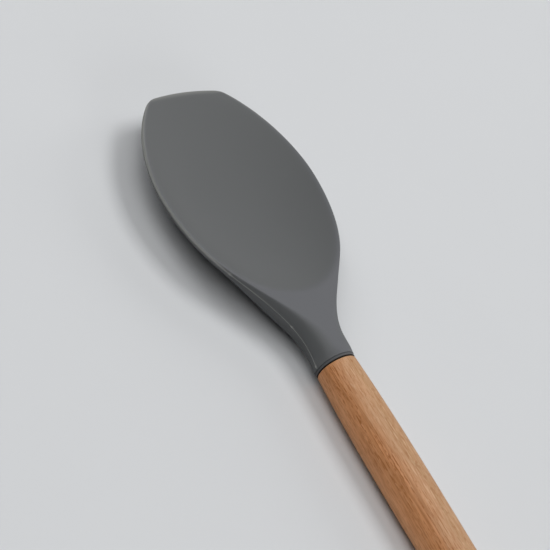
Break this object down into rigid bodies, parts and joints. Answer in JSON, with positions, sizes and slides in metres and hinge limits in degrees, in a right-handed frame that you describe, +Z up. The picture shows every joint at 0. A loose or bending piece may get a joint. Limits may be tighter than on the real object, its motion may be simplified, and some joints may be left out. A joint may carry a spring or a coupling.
{
  "type": "serving spoon",
  "caption": "Serving spoon with a shallow blunt-tipped grey silicone bowl moulded over a stiff core and a turned beech handle",
  "frame": {"origin": "on the plane the spoon lies on, under the middle of its length and width", "axes": "+Y along the handle axis towards the bowl's tip, +X across the spoon, +Z up out of the bowl"},
  "size_m": [0.07, 0.3216, 0.0169],
  "materials": {
    "silicone": "smooth matte grey silicone",
    "core": "matte dark grey nylon",
    "adhesive": "cured pale amber adhesive",
    "wood": "oiled beech, straight grain with short flecks"
  },
  "bodies": {
    "root": {"silicone_head": "silicone", "head_core": "core", "glue_sleeve": "adhesive", "wood_handle": "wood"}
  },
  "joints": []
}
